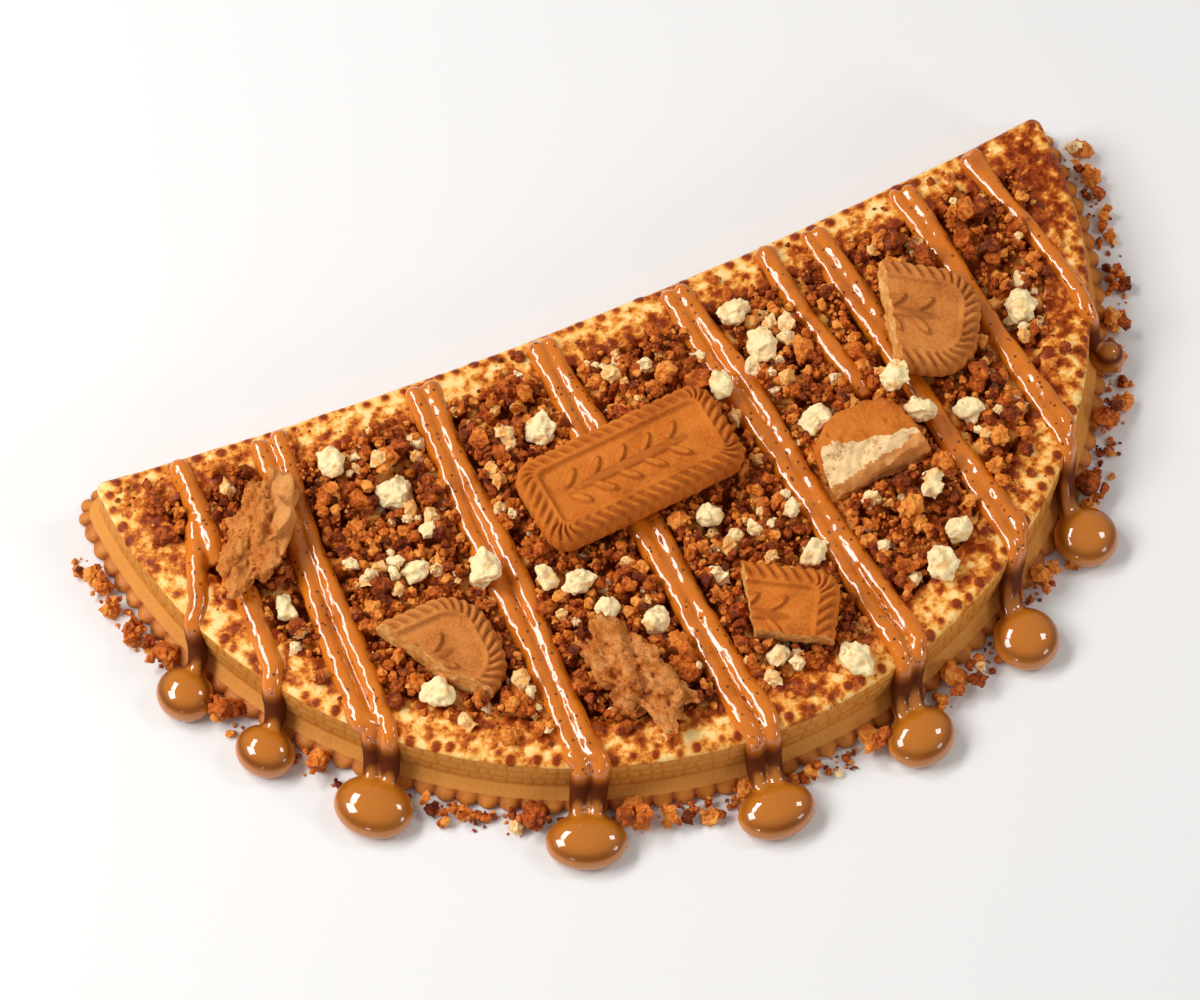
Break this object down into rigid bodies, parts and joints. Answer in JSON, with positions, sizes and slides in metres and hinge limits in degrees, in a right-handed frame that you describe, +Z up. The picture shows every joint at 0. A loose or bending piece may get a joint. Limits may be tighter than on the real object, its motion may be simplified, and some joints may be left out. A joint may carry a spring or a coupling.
{
  "type": "half moon waffle with toppings",
  "caption": "Half of a large round waffle with a raised rim and scalloped foot, topped with caramel drizzle, crumbs, caramelised biscuits and cream chunks.",
  "frame": {"origin": "bottom centre of the bounding box, on the table under the waffle", "axes": "+X along the straight edge, to the right when the arc faces the viewer; +Y towards the straight edge at the back; +Z up, out of the topped face"},
  "size_m": [0.2824, 0.1624, 0.03],
  "materials": {
    "crust": "baked waffle, pale gold with brown patches, satin",
    "biscuit": "dry caramelised biscuit, matt and fine-grained",
    "cream": "pale cream chunk, matt to satin",
    "caramel": "thick caramel sauce, glossy"
  },
  "bodies": {
    "root": {"waffle": "crust", "biscuit_whole": "biscuit", "biscuit_rough_slab": "biscuit", "biscuit_round_end": "biscuit", "biscuit_lump": "biscuit", "biscuit_corner": "biscuit", "biscuit_pale_break": "biscuit", "biscuit_end": "biscuit", "cream_chunk_01": "cream", "cream_chunk_02": "cream", "cream_chunk_03": "cream", "cream_chunk_04": "cream", "cream_chunk_05": "cream", "cream_chunk_06": "cream", "cream_chunk_07": "cream", "cream_chunk_08": "cream", "cream_chunk_09": "cream", "cream_chunk_10": "cream", "cream_chunk_11": "cream", "cream_chunk_12": "cream", "cream_chunk_13": "cream", "cream_chunk_14": "cream", "cream_chunk_15": "cream", "cream_chunk_16": "cream", "cream_chunk_17": "cream", "cream_chunk_18": "cream", "cream_chunk_19": "cream", "cream_chunk_20": "cream", "cream_chunk_21": "cream", "cream_chunk_22": "cream", "cream_chunk_23": "cream", "cream_chunk_24": "cream", "cream_chunk_25": "cream"}
  },
  "joints": []
}
